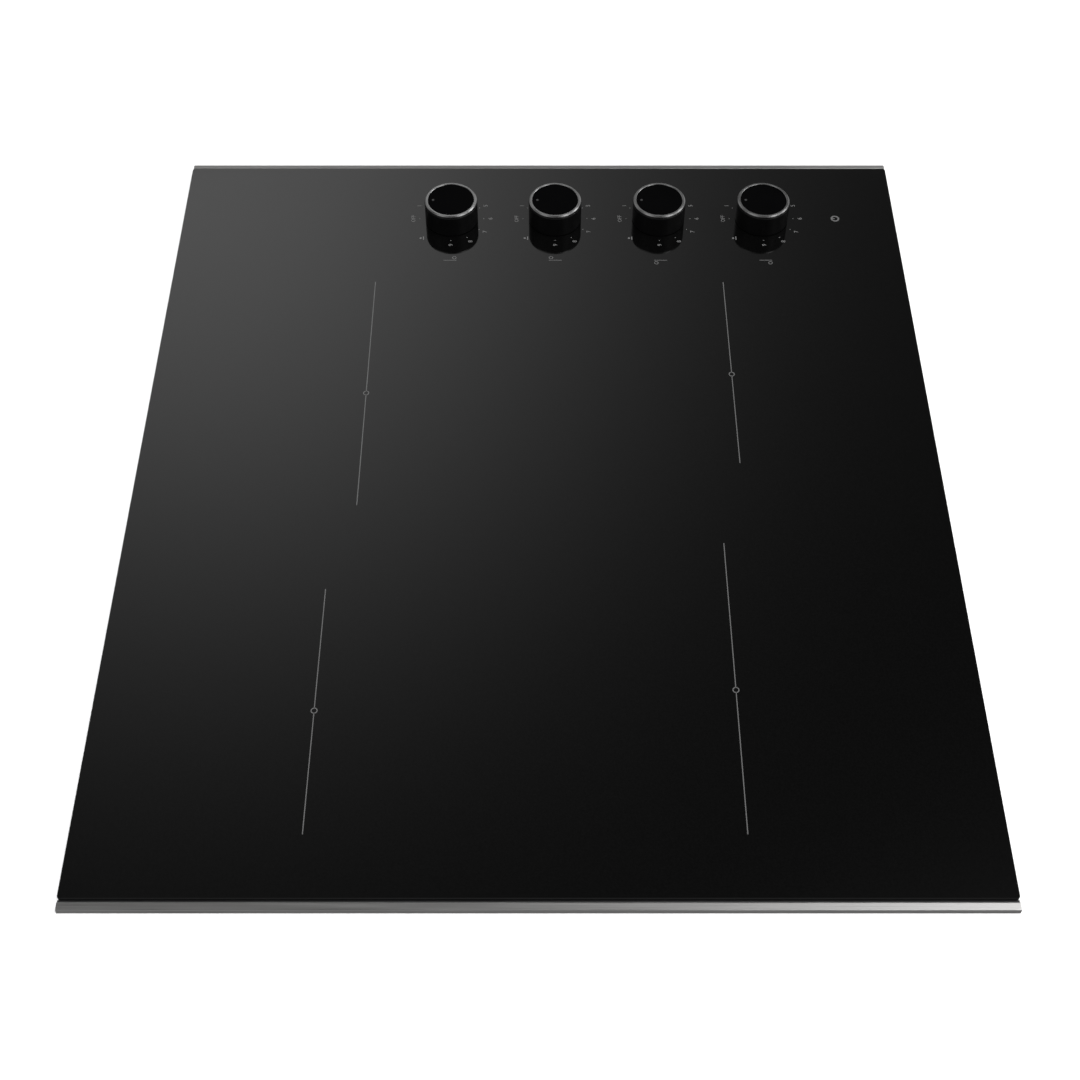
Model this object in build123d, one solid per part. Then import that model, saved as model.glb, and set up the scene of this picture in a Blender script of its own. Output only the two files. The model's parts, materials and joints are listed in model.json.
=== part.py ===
from build123d import *
import os
from math import asin, atan, cos, degrees, radians, sin

# A four-zone radiant ceramic cooktop that drops into a worktop. Millimetres, +Z up.
# The origin is the middle of the cut-out, on the worktop plane that the seal rests on.
# +X is the cook's right, where the controls are, and -Y is the front edge.

# ---- Glass, side trims and seal ----
GLASS_LENGTH = 588.0
GLASS_DEPTH = 510.0
GLASS_THICKNESS = 4.0
GLASS_CORNER_RADIUS = 2.0
GLASS_ARRIS = 0.4
SEAL_THICKNESS = 1.2
SEAL_INSET = 1.5
SEAL_WIDTH = 7.5
TRIM_REACH = 6.0
TRIM_SHEET = 0.7
TRIM_HEIGHT = 3.3
TRIM_INNER_HEIGHT = 3.8
TRIM_GAP = 1.2
TRIM_FLANGE = 10.0
TRIM_BEND_RADIUS = 0.6
EDGE_BEAD_HEIGHT = 1.2

# ---- Cut-out, support frame and pan ----
CUTOUT_LENGTH = 560.0
CUTOUT_DEPTH = 490.0
CUTOUT_CLEARANCE = 3.5
BOND_THICKNESS = 0.7
BOND_WIDTH = 11.0
BOND_CORNER_RADIUS = 1.0
FRAME_SHEET = 1.0
FRAME_LEG = 14.0
FRAME_CORNER_RADIUS = 6.0
PAN_INSET_X = 18.0
PAN_INSET_Y = 9.0
PAN_DEPTH_BELOW = 46.0
PAN_SHEET = 0.8
PAN_CORNER_RADIUS = 12.0
PAN_EDGE_RADIUS = 4.0
NEST_GAP = 0.2
VENT_SLOT_LENGTH = 26.0
VENT_SLOT_WIDTH = 3.0
VENT_SLOT_PITCH = 8.0
VENT_SLOTS = 4

# ---- Cooking zones: name, centre x, centre y, heater diameter ----
LARGE_HEATER = 200.0
SMALL_HEATER = 165.0
ZONES = {
    "rear_left": (-173.5, 128.0, SMALL_HEATER),
    "front_left": (-156.0, -113.5, LARGE_HEATER),
    "rear_right": (74.0, 113.5, LARGE_HEATER),
    "front_right": (91.0, -128.0, SMALL_HEATER),
}
HEATER_HEIGHT = 28.0
DISH_SHEET = 0.8
DISH_RIM_DROP = 3.0
DISH_EDGE_RADIUS = 3.0
INSULATION_GAP = 0.1
INSULATION_WALL = 9.0
INSULATION_BASE = 14.0
RIBBON_WIDTH = 0.6
RIBBON_HEIGHT = 5.0
RIBBON_PITCH = 9.0
RIBBON_INNER_RADIUS = 16.0
RIBBON_EDGE_GAP = 4.0
RIBBON_LEAD_OFFSET = 6.0
LEAD_SLOT_GAP = 0.4
LIMITER_ROD_RADIUS = 2.0
LIMITER_ROD_DROP = 4.5
LIMITER_SEAT = 5.0
LIMITER_HEAD = (27.0, 30.0, 15.0)
HEAD_CORNER_RADIUS = 2.0
HEAD_STAND_OFF = 0.3
ROD_GAP = 0.2
SPRING_STRIP_WIDTH = 12.0
SPRING_STRIP_SHEET = 0.8
SPRING_CROWN = 12.0
SPRING_FOOT = 8.0
SPRING_SLOPE_RUN = 7.0
SPRING_RING_SHARE = 0.7
SPRING_ANGLES = (30, 150, 270)

# ---- Controls ----
KNOB_X = 239.0
KNOB_PITCH = 74.0
REAR_KNOB_Y = 62.5
KNOB_COUNT = 4
KNOB_DIAMETER = 37.5
KNOB_HEIGHT = 18.0
KNOB_GAP = 0.6
KNOB_WALL = 2.2
KNOB_BOSS_DIAMETER = 12.0
KNOB_RIB = 1.6
KNOB_SHOULDER = 0.3
RING_DIAMETER = 36.7
RING_BORE = 32.5
RING_HEIGHT = 2.0
RING_BEVEL = 0.8
RING_INNER_BEVEL = 0.3
DISC_GAP = 0.1
DISC_RECESS = 0.5
DISC_EDGE = 0.2
SHAFT_DIAMETER = 6.0
SHAFT_FLAT_DEPTH = 1.4
SHAFT_RUNNING_GAP = 0.05
SOCKET_GAP = 0.05
SHAFT_SOCKET_DEPTH = 10.0
SHAFT_DEPTH_IN_REGULATOR = 18.0
SHAFT_END_GAP = 0.3
GLASS_HOLE_DIAMETER = 12.0
GROMMET_GAP = 0.1
GROMMET_FLANGE_DIAMETER = 16.0
GROMMET_FLANGE = 1.5
BRACKET_DROP = 4.2
BRACKET_SHEET = 1.2
BRACKET_WIDTH = 39.0
BRACKET_LEG_WIDTH = 32.0
BRACKET_FRONT_GAP = 8.0
BRACKET_HEM = 4.0
BRACKET_END_MARGIN = 34.0
BRACKET_FOOT = 12.0
REGULATOR_SIZE = (34.0, 50.0, 27.0)
REGULATOR_EDGE_RADIUS = 2.0
COLLAR_DIAMETER = 9.6
COLLAR_HEIGHT = 2.4
COLLAR_GAP = 0.2
TAB_SIZE = (0.8, 6.3, 7.0)
TAB_COLUMNS = (-9.0, 9.0)
TAB_ROWS = (-17.0, 0.0, 17.0)
REGULATOR_SCREW_SPACING = 31.0
REGULATOR_SCREW_LENGTH = 6.0
LAMP_Y = -212.5
LAMP_DIAMETER = 9.0
LAMP_FLANGE_DIAMETER = 12.0
LAMP_FLANGE = 1.0
LAMP_LENGTH = 22.0
LAMP_GAP = 0.3
LAMP_LENS_DIAMETER = 6.0

# ---- Fasteners and worktop clamps ----
SCREW_RADIUS = 1.9
SCREW_HOLE_GAP = 0.1
SCREW_HEAD_RADIUS = 3.7
SCREW_HEAD_HEIGHT = 2.4
SCREW_HEAD_ROUNDING = 0.4
SCREW_TIP_TAPER = 0.4
RECESS_WIDTH = 1.0
RECESS_LENGTH = 4.4
RECESS_DEPTH = 1.2
PAN_SCREW_LENGTH = 8.0
PAN_SCREW_DROP = 10.0
PAN_SCREW_X = 100.0
PAN_SCREW_Y = 200.0
CLAMP_AXIS_INSET = 11.5
CLAMP_Y = 150.0
CLAMP_THICKNESS = 2.0
CLAMP_WIDTH = 9.0
CLAMP_LENGTH = 28.0
CLAMP_TIP_RISE = 1.5
CLAMP_TIP_LENGTH = 6.0
CLAMP_SCREW_RADIUS = 2.0
CLAMP_SCREW_HEAD_RADIUS = 4.0
CLAMP_SCREW_HEAD_HEIGHT = 3.0
CLAMP_SCREW_DEPTH = 42.0
CLAMP_RUNNING_GAP = 0.05
CLAMP_HEAD_GAP = 0.3
CLAMP_NUT_RADIUS = 4.0
CLAMP_NUT_HEIGHT = 4.0

# ---- Mains terminal compartment and cable inlet ----
TERMINAL_X = 182.0
HOUSING_WIDTH = 84.0
HOUSING_HEIGHT = 28.0
HOUSING_DEPTH = 40.0
HOUSING_WALL = 2.0
HOUSING_FLOOR_GAP = 3.2
HOUSING_GAP = 0.2
COLLAR_BORDER = 2.0
COLLAR_PLATE = 2.0
WIRE_NOTCH = 12.0
COVER_GAP = 0.3
COVER_THICKNESS = 2.2
COVER_SIDE_GAP = 0.3
COVER_TAB_WIDTH = 16.0
COVER_TAB_REACH = 3.0
BARREL_RADIUS = 1.6
HINGE_PIN_RADIUS = 0.9
HINGE_RUNNING_GAP = 0.05
HINGE_PIN_END_GAP = 0.3
EAR_THICKNESS = 3.0
BLOCK_SIZE = (68.0, 18.0, 20.0)
BLOCK_POLES = 5
BLOCK_POLE_PITCH = 12.5
WIRE_HOLE_RADIUS = 2.2
WIRE_HOLE_DEPTH = 11.0
TERMINAL_SCREW_RADIUS = 2.5
TERMINAL_SCREW_LENGTH = 6.0
TERMINAL_SCREW_GAP = 0.1
TERMINAL_SCREW_RECESS = 1.0
INLET_X = 243.0
INLET_Y = 214.0
INLET_POCKET = 32.0
INLET_POCKET_RISE = 5.0
INLET_POCKET_CORNER = 5.0
INLET_BORE = 10.0
INLET_BODY = 15.0
INLET_FLANGE = 22.0
INLET_FLANGE_HEIGHT = 2.0
INLET_LENGTH = 12.0
INLET_GAP = 0.1

# ---- Heater wiring ----
WIRE_RADIUS = 1.1
WIRE_PAIR_HALF = 6.0
WIRE_LEVEL_PITCH = 2.6
WIRE_FLOOR_GAP = 0.5
WIRE_LANE_X = 206.0
WIRE_LANE_PITCH = 2.6
WIRE_RISE_X = 226.0
WIRE_BEND_RADIUS = 2.2

# ---- Heights and outlines that follow ----
GLASS_BOTTOM = SEAL_THICKNESS
GLASS_TOP = GLASS_BOTTOM + GLASS_THICKNESS
FRAME_TOP = GLASS_BOTTOM - BOND_THICKNESS
FRAME_UNDERSIDE = FRAME_TOP - FRAME_SHEET
FRAME_LENGTH = CUTOUT_LENGTH - 2 * CUTOUT_CLEARANCE
FRAME_DEPTH = CUTOUT_DEPTH - 2 * CUTOUT_CLEARANCE
PAN_LENGTH = CUTOUT_LENGTH - 2 * PAN_INSET_X
PAN_DEPTH = CUTOUT_DEPTH - 2 * PAN_INSET_Y
PAN_BOTTOM = -PAN_DEPTH_BELOW
PAN_FLOOR = PAN_BOTTOM + PAN_SHEET
LEG_LENGTH = PAN_LENGTH - 2 * (PAN_SHEET + NEST_GAP)
LEG_DEPTH = PAN_DEPTH - 2 * (PAN_SHEET + NEST_GAP)
LEG_CORNER_RADIUS = PAN_CORNER_RADIUS - PAN_SHEET - NEST_GAP
DISH_BOTTOM = GLASS_BOTTOM - HEATER_HEIGHT
DISH_RIM = GLASS_BOTTOM - DISH_RIM_DROP
INSULATION_BOTTOM = DISH_BOTTOM + DISH_SHEET
RIBBON_BOTTOM = INSULATION_BOTTOM + INSULATION_BASE
ROD_Z = GLASS_BOTTOM - LIMITER_ROD_DROP
HEAD_TOP = GLASS_BOTTOM - DISH_RIM_DROP
HEAD_BOTTOM = HEAD_TOP - LIMITER_HEAD[2]
KNOB_BOTTOM = GLASS_TOP + KNOB_GAP
KNOB_SEAT = GLASS_TOP + KNOB_HEIGHT - RING_HEIGHT
BRACKET_TOP = GLASS_BOTTOM - BRACKET_DROP
BRACKET_UNDERSIDE = BRACKET_TOP - BRACKET_SHEET
REGULATOR_BOTTOM = BRACKET_UNDERSIDE - REGULATOR_SIZE[2]
SCREW_HOLE_RADIUS = SCREW_RADIUS + SCREW_HOLE_GAP
PAN_SCREW_HOLE_DEPTH = 4 * (FRAME_SHEET + PAN_SHEET)
KNOB_YS = [REAR_KNOB_Y - index * KNOB_PITCH for index in range(KNOB_COUNT)]
KNOB_ZONES = ["front_right", "rear_right", "rear_left", "front_left"]
REAR_WALL_Y = PAN_DEPTH / 2
HOUSING_BOTTOM = PAN_FLOOR + HOUSING_FLOOR_GAP
COLLAR_FACE_Y = REAR_WALL_Y + COLLAR_PLATE
HINGE_Y = COLLAR_FACE_Y + COVER_GAP + BARREL_RADIUS
HINGE_Z = HOUSING_BOTTOM - COLLAR_BORDER + BARREL_RADIUS
CLAMP_AXIS_X = CUTOUT_LENGTH / 2 - CLAMP_AXIS_INSET
CLAMP_UNDERSIDE = -CLAMP_SCREW_DEPTH + CLAMP_SCREW_HEAD_HEIGHT + CLAMP_HEAD_GAP
INLET_PLATE = PAN_FLOOR + INLET_POCKET_RISE


def box(x_range, y_range, z_range):
    """A box from its three pairs of limits."""
    size = [high - low for low, high in (x_range, y_range, z_range)]
    middle = [(high + low) / 2 for low, high in (x_range, y_range, z_range)]
    return Pos(*middle) * Box(*size)


def plate(length, depth, corner, bottom, top):
    """A flat plate with rounded corners, centred on Z."""
    outline = RectangleRounded(length, depth, corner)
    return extrude(Pos(0, 0, bottom) * outline, top - bottom)


def rod(x, y, bottom, top, radius):
    """A vertical cylinder."""
    middle = (bottom + top) / 2
    return Pos(x, y, middle) * Cylinder(radius, top - bottom)


def screw(radius, length, head_radius, head_height):
    """A screw with a cross recess: its head sits on z = 0 and its shank points down."""
    head = Pos(0, 0, head_height / 2) * Cylinder(head_radius, head_height)
    head = fillet(head.edges().group_by(Axis.Z)[-1], head_height * SCREW_HEAD_ROUNDING)
    shank = Pos(0, 0, -length / 2) * Cylinder(radius, length)
    shank = chamfer(shank.edges().group_by(Axis.Z)[0], radius * SCREW_TIP_TAPER)
    recess_z = head_height - RECESS_DEPTH / 2
    recess = Pos(0, 0, recess_z) * Box(RECESS_LENGTH, RECESS_WIDTH, RECESS_DEPTH)
    return head + shank - recess - Rot(0, 0, 90) * recess


# ---- Glass and rim ----
def glass_top():
    glass = plate(GLASS_LENGTH, GLASS_DEPTH, GLASS_CORNER_RADIUS, GLASS_BOTTOM, GLASS_TOP)
    rims = glass.edges().group_by(Axis.Z)
    glass = chamfer(rims[0] + rims[-1], GLASS_ARRIS)
    for y in KNOB_YS:
        glass -= rod(KNOB_X, y, GLASS_BOTTOM - 1, GLASS_TOP + 1, GLASS_HOLE_DIAMETER / 2)
    return glass


def trim_section():
    """The right trim's folded sheet in the X-Z plane: flange, inner leg, top face, outer lip."""
    edge = GLASS_LENGTH / 2
    flange_end = edge - TRIM_FLANGE
    inside = edge + TRIM_GAP
    outside = edge + TRIM_REACH
    slope = (TRIM_HEIGHT - TRIM_INNER_HEIGHT) / (outside - inside)
    sheet_drop = TRIM_SHEET / cos(atan(slope))
    points = [
        (flange_end, GLASS_BOTTOM),
        (inside, GLASS_BOTTOM),
        (inside, TRIM_INNER_HEIGHT),
        (outside, TRIM_HEIGHT),
        (outside, 0),
        (outside - TRIM_SHEET, 0),
        (outside - TRIM_SHEET, TRIM_HEIGHT - slope * TRIM_SHEET - sheet_drop),
        (inside + TRIM_SHEET, TRIM_INNER_HEIGHT + slope * TRIM_SHEET - sheet_drop),
        (inside + TRIM_SHEET, GLASS_BOTTOM - TRIM_SHEET),
        (flange_end, GLASS_BOTTOM - TRIM_SHEET),
    ]
    section = make_face(Polyline(*points, close=True))
    bends = [section.vertices().sort_by_distance(point)[0] for point in points[2:4]]
    return fillet(bends, TRIM_BEND_RADIUS)


def side_trim(side):
    section = Plane.XZ * trim_section()
    trim = extrude(section, GLASS_DEPTH / 2, both=True)
    return trim if side == "right" else mirror(trim, Plane.YZ)


def edge_beads():
    """Silicone beads that fill the foot of the gap between the glass and each trim."""
    edge = GLASS_LENGTH / 2
    depth = (-GLASS_DEPTH / 2, GLASS_DEPTH / 2)
    height = (GLASS_BOTTOM, GLASS_BOTTOM + EDGE_BEAD_HEIGHT)
    bead = box((edge - GLASS_ARRIS, edge + TRIM_GAP), depth, height) - glass_top()
    bead = bead.solids().sort_by(SortBy.VOLUME)[-1]
    return [bead, mirror(bead, Plane.YZ)]


def worktop_seal():
    length = GLASS_LENGTH - 2 * SEAL_INSET
    depth = GLASS_DEPTH - 2 * SEAL_INSET
    corner = SEAL_WIDTH + GLASS_CORNER_RADIUS
    seal = plate(length, depth, corner, 0, GLASS_BOTTOM)
    hollow = (length - 2 * SEAL_WIDTH, depth - 2 * SEAL_WIDTH)
    seal -= plate(*hollow, GLASS_CORNER_RADIUS, -1, GLASS_BOTTOM + 1)
    inner = GLASS_LENGTH / 2 - TRIM_FLANGE
    flange_z = (GLASS_BOTTOM - TRIM_SHEET, GLASS_BOTTOM + 1)
    for limits in ((inner, GLASS_LENGTH), (-GLASS_LENGTH, -inner)):
        seal -= box(limits, (-GLASS_DEPTH, GLASS_DEPTH), flange_z)
    return seal


def glass_bond():
    """The silicone bead that holds the frame under the glass."""
    bead = plate(FRAME_LENGTH, FRAME_DEPTH, FRAME_CORNER_RADIUS, FRAME_TOP, GLASS_BOTTOM)
    hollow = (FRAME_LENGTH - 2 * BOND_WIDTH, FRAME_DEPTH - 2 * BOND_WIDTH)
    return bead - plate(*hollow, BOND_CORNER_RADIUS, FRAME_TOP - 1, GLASS_BOTTOM + 1)


# ---- Frame and pan ----
def clamp_places():
    return [(side * CLAMP_AXIS_X, end * CLAMP_Y, side) for side in (-1, 1) for end in (1, -1)]


def pan_screw_places():
    """Where the pan is screwed to the frame's leg, as x, y and the outward direction."""
    ends = [(side * PAN_LENGTH / 2, y, (side, 0)) for side in (-1, 1)
            for y in (-PAN_SCREW_Y, PAN_SCREW_Y)]
    flanks = [(x, side * PAN_DEPTH / 2, (0, side)) for side in (-1, 1)
              for x in (-PAN_SCREW_X, PAN_SCREW_X)]
    return ends + flanks


def outward_plane(x, y, direction):
    """A plane on the pan's wall whose normal points out of it."""
    origin = (x, y, -PAN_SCREW_DROP)
    return Plane(origin=origin, x_dir=(0, 0, 1), z_dir=(*direction, 0))


def pan_screw_holes():
    return [outward_plane(*place) * Cylinder(SCREW_HOLE_RADIUS, PAN_SCREW_HOLE_DEPTH)
            for place in pan_screw_places()]


def support_frame():
    frame = plate(FRAME_LENGTH, FRAME_DEPTH, FRAME_CORNER_RADIUS, FRAME_UNDERSIDE, FRAME_TOP)
    leg_bottom = FRAME_TOP - FRAME_LEG
    frame += plate(LEG_LENGTH, LEG_DEPTH, LEG_CORNER_RADIUS, leg_bottom, FRAME_TOP)
    for x, y, _ in clamp_places():
        frame += rod(x, y, FRAME_UNDERSIDE - CLAMP_NUT_HEIGHT, FRAME_TOP, CLAMP_NUT_RADIUS)
    hollow = (LEG_LENGTH - 2 * FRAME_SHEET, LEG_DEPTH - 2 * FRAME_SHEET)
    corner = LEG_CORNER_RADIUS - FRAME_SHEET
    frame -= plate(*hollow, corner, leg_bottom - 1, FRAME_TOP + 1)
    hole = CLAMP_SCREW_RADIUS + CLAMP_RUNNING_GAP
    for x, y, _ in clamp_places():
        frame -= rod(x, y, FRAME_UNDERSIDE - CLAMP_NUT_HEIGHT - 1, FRAME_TOP + 1, hole)
    return frame - pan_screw_holes()


def tray(inset, bottom, top):
    """The pan's form, drawn in from its outside by an inset."""
    length, depth = PAN_LENGTH - 2 * inset, PAN_DEPTH - 2 * inset
    form = plate(length, depth, PAN_CORNER_RADIUS - inset, bottom, top)
    return fillet(form.edges().group_by(Axis.Z)[0], PAN_EDGE_RADIUS - inset)


def vent_slots():
    """Cooling slots in the pan's floor, a few under each regulator."""
    slots = []
    for y in KNOB_YS:
        for index in range(VENT_SLOTS):
            slot_y = y + (index - (VENT_SLOTS - 1) / 2) * VENT_SLOT_PITCH
            outline = Pos(KNOB_X, slot_y) * SlotOverall(VENT_SLOT_LENGTH, VENT_SLOT_WIDTH)
            slots.append(extrude(Pos(0, 0, PAN_BOTTOM - 1) * outline, PAN_SHEET + 2))
    return slots


def bottom_pan():
    pan = tray(0, PAN_BOTTOM, FRAME_UNDERSIDE)
    pan -= tray(PAN_SHEET, PAN_FLOOR, FRAME_UNDERSIDE + 1)
    pocket = RectangleRounded(INLET_POCKET, INLET_POCKET, INLET_POCKET_CORNER)
    pocket_outline = Pos(INLET_X, INLET_Y) * pocket
    pocket_skin = offset(pocket_outline, PAN_SHEET)
    pan += extrude(Pos(0, 0, PAN_BOTTOM) * pocket_skin, INLET_PLATE - PAN_BOTTOM)
    pan -= extrude(Pos(0, 0, PAN_BOTTOM) * pocket_outline, INLET_POCKET_RISE)
    pan -= rod(INLET_X, INLET_Y, PAN_BOTTOM, INLET_PLATE + 1, INLET_BODY / 2 + INLET_GAP)
    pan -= vent_slots()
    half = HOUSING_WIDTH / 2 + HOUSING_GAP
    opening_z = (HOUSING_BOTTOM - HOUSING_GAP, HOUSING_BOTTOM + HOUSING_HEIGHT + HOUSING_GAP)
    wall = (REAR_WALL_Y - 2 * PAN_SHEET, REAR_WALL_Y + 1)
    pan -= box((TERMINAL_X - half, TERMINAL_X + half), wall, opening_z)
    return pan - pan_screw_holes()


def pan_screws():
    length = PAN_SCREW_LENGTH
    one = screw(SCREW_RADIUS, length, SCREW_HEAD_RADIUS, SCREW_HEAD_HEIGHT)
    return [outward_plane(*place) * one for place in pan_screw_places()]


# ---- Worktop clamps ----
def worktop_clamp(x, y, side):
    """A flat arm that hangs on its screw, parked along the pan and turned out to grip."""
    toward = -1 if y > 0 else 1
    outline = Pos(0, toward * CLAMP_LENGTH / 2) * SlotCenterToCenter(CLAMP_LENGTH, CLAMP_WIDTH, 90)
    arm = extrude(outline, CLAMP_THICKNESS)
    tip_start = CLAMP_LENGTH + CLAMP_WIDTH / 2 - CLAMP_TIP_LENGTH
    beyond = toward * (tip_start + 2 * CLAMP_TIP_LENGTH)
    tip_y = sorted((toward * tip_start, beyond))
    half = CLAMP_WIDTH / 2
    tip_z = (0, CLAMP_THICKNESS + CLAMP_TIP_RISE)
    tip = extrude(outline, tip_z[1]) & box((-half, half), tip_y, tip_z)
    arm += tip
    arm -= rod(0, 0, -1, tip_z[1] + 1, CLAMP_SCREW_RADIUS + CLAMP_RUNNING_GAP)
    return Pos(x, y, CLAMP_UNDERSIDE) * arm


def clamp_screws():
    length = CLAMP_SCREW_DEPTH - CLAMP_SCREW_HEAD_HEIGHT + FRAME_TOP
    one = screw(CLAMP_SCREW_RADIUS, length, CLAMP_SCREW_HEAD_RADIUS, CLAMP_SCREW_HEAD_HEIGHT)
    seat = -CLAMP_SCREW_DEPTH + CLAMP_SCREW_HEAD_HEIGHT
    return [Pos(x, y, seat) * Rot(180, 0, 0) * one for x, y, _ in clamp_places()]


# ---- Radiant heaters, each drawn about its own centre with its terminals towards +X ----
def lead_slots(inner, outer):
    """The two slots through which the ribbon's leads pass a wall."""
    half = RIBBON_WIDTH / 2 + LEAD_SLOT_GAP
    slot_z = (RIBBON_BOTTOM - LEAD_SLOT_GAP, RIBBON_BOTTOM + RIBBON_HEIGHT + LEAD_SLOT_GAP)
    return [box((inner, outer), (y - half, y + half), slot_z)
            for y in (-RIBBON_LEAD_OFFSET, RIBBON_LEAD_OFFSET)]


def rod_passage(start, end):
    """The passage for the limiter's rod, along X."""
    middle = Pos((start + end) / 2, 0, ROD_Z) * Rot(0, 90, 0)
    return middle * Cylinder(LIMITER_ROD_RADIUS + ROD_GAP, end - start)


def heater_dish(radius):
    dish = rod(0, 0, DISH_BOTTOM, DISH_RIM, radius)
    dish = fillet(dish.edges().group_by(Axis.Z)[0], DISH_EDGE_RADIUS)
    hollow = rod(0, 0, INSULATION_BOTTOM, DISH_RIM + 1, radius - DISH_SHEET)
    hollow = fillet(hollow.edges().group_by(Axis.Z)[0], DISH_EDGE_RADIUS - DISH_SHEET)
    dish -= hollow
    dish -= lead_slots(radius - 2 * DISH_SHEET, radius + 1)
    return dish - rod_passage(radius - 2 * DISH_SHEET, radius + 1)


def heater_insulation(radius):
    outside = radius - DISH_SHEET - INSULATION_GAP
    inside = outside - INSULATION_WALL
    bowl = rod(0, 0, INSULATION_BOTTOM, GLASS_BOTTOM, outside)
    bowl = chamfer(bowl.edges().group_by(Axis.Z)[0], DISH_EDGE_RADIUS)
    bowl -= rod(0, 0, RIBBON_BOTTOM, GLASS_BOTTOM + 1, inside)
    bowl -= lead_slots(inside - 1, outside + 1)
    return bowl - rod_passage(-inside - LIMITER_SEAT - ROD_GAP, outside + 1)


def band(centre, radius, start, sweep_angle):
    """A flat band of the ribbon's width along an arc; angles in degrees."""
    half = RIBBON_WIDTH / 2
    outer = CenterArc(centre, radius + half, start, sweep_angle)
    inner = CenterArc(centre, radius - half, start, sweep_angle)
    ends = [Line(inner @ 0, outer @ 0), Line(inner @ 1, outer @ 1)]
    return make_face([outer, inner, *ends])


def heater_ribbon(radius):
    """One ribbon on its edge: rings joined by turn-backs, with both leads towards +X."""
    largest = radius - DISH_SHEET - INSULATION_GAP - INSULATION_WALL - RIBBON_EDGE_GAP
    # an odd number of rings brings the inner end back to the lead's side
    rings = 2 * int((largest - RIBBON_INNER_RADIUS) // (2 * RIBBON_PITCH)) + 1
    radii = [largest - index * RIBBON_PITCH for index in range(rings)]
    gap = RIBBON_LEAD_OFFSET
    reach = radius + HEAD_STAND_OFF / 2
    half = RIBBON_WIDTH / 2
    outline = Sketch()
    for index, ring in enumerate(radii):
        # the outer ring starts at one lead and the inner ring ends at the other
        first = index == 0
        last = index == rings - 1
        turn = gap + RIBBON_PITCH
        upper = degrees(asin((gap if first else turn) / ring))
        lower = degrees(asin((gap if last else turn) / ring))
        if not first:
            joined = degrees(asin(turn / radii[index - 1]))
            upper = joined if index % 2 == 0 else upper
            lower = joined if index % 2 == 1 else lower
        outline += band((0, 0), ring, upper, 360 - upper - lower)
        if last:
            break
        # a turn-back on alternate sides joins this ring to the next one in
        side = -1 if index % 2 == 0 else 1
        angle = side * degrees(asin(turn / ring))
        middle = ring - RIBBON_PITCH / 2
        centre = (middle * cos(radians(angle)), middle * sin(radians(angle)))
        outline += band(centre, RIBBON_PITCH / 2, angle, -side * 180)
    lead_start = radii[0] * cos(asin(gap / radii[0])) - half
    outline += Pos((lead_start + reach) / 2, gap) * Rectangle(reach - lead_start, RIBBON_WIDTH)
    inner_start = radii[-1] * cos(asin(gap / radii[-1])) - half
    outline += Pos((inner_start + reach) / 2, -gap) * Rectangle(reach - inner_start, RIBBON_WIDTH)
    return extrude(Pos(0, 0, RIBBON_BOTTOM) * outline, RIBBON_HEIGHT)


def heater_limiter(radius):
    """The rod that senses the glass, with the ceramic head that holds the terminals."""
    length, width, height = LIMITER_HEAD
    start = radius + HEAD_STAND_OFF
    head = box((start, start + length), (-width / 2, width / 2), (HEAD_BOTTOM, HEAD_TOP))
    head = fillet(head.edges().filter_by(Axis.Z), HEAD_CORNER_RADIUS)
    inside = radius - DISH_SHEET - INSULATION_GAP - INSULATION_WALL
    rod_start = -inside - LIMITER_SEAT
    bar = Pos((rod_start + start) / 2, 0, ROD_Z) * Rot(0, 90, 0)
    return head + bar * Cylinder(LIMITER_ROD_RADIUS, start - rod_start)


def heater_springs():
    """Leaf springs that stand on the pan's floor and press each dish up to the glass."""
    rise = DISH_BOTTOM - PAN_FLOOR
    crown, run, foot = SPRING_CROWN / 2, SPRING_SLOPE_RUN, SPRING_FOOT
    sheet = SPRING_STRIP_SHEET
    outside = [(-crown - run - foot, sheet), (-crown - run, sheet), (-crown, rise),
               (crown, rise), (crown + run, sheet), (crown + run + foot, sheet)]
    inside = [(crown + run + foot, 0), (crown + run - sheet, 0), (crown - sheet, rise - sheet),
              (-crown + sheet, rise - sheet), (-crown - run + sheet, 0), (-crown - run - foot, 0)]
    section = make_face(Polyline(*outside, *inside, close=True))
    one = extrude(Plane.XZ * section, SPRING_STRIP_WIDTH / 2, both=True)
    springs = []
    for x, y, diameter in ZONES.values():
        ring = SPRING_RING_SHARE * diameter / 2
        for angle in SPRING_ANGLES:
            place = (x + ring * cos(radians(angle)), y + ring * sin(radians(angle)), PAN_FLOOR)
            springs.append(Pos(*place) * one)
    return springs


# ---- Controls ----
def energy_regulator(y):
    width, depth, height = REGULATOR_SIZE
    body = Pos(0, 0, -height / 2) * Box(width, depth, height)
    body = fillet(body.edges().filter_by(Axis.Z), REGULATOR_EDGE_RADIUS)
    collar_top = BRACKET_SHEET + COLLAR_HEIGHT
    body += rod(0, 0, -1, collar_top, COLLAR_DIAMETER / 2)
    for tab_x in TAB_COLUMNS:
        for tab_y in TAB_ROWS:
            tab_z = -height - TAB_SIZE[2] / 2
            body += Pos(tab_x, tab_y, tab_z) * Box(*TAB_SIZE)
    bore = SHAFT_DIAMETER / 2 + SHAFT_RUNNING_GAP
    body -= rod(0, 0, -SHAFT_DEPTH_IN_REGULATOR - SHAFT_END_GAP, collar_top + 1, bore)
    for side in (-1, 1):
        screw_y = side * REGULATOR_SCREW_SPACING / 2
        body -= rod(0, screw_y, -REGULATOR_SCREW_LENGTH, 1, SCREW_HOLE_RADIUS)
    return Pos(KNOB_X, y, BRACKET_UNDERSIDE) * body


def regulator_screws():
    one = screw(SCREW_RADIUS, REGULATOR_SCREW_LENGTH, SCREW_HEAD_RADIUS, SCREW_HEAD_HEIGHT)
    half = REGULATOR_SCREW_SPACING / 2
    return [Pos(KNOB_X, y + side * half, BRACKET_TOP) * one for y in KNOB_YS for side in (-1, 1)]


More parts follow.
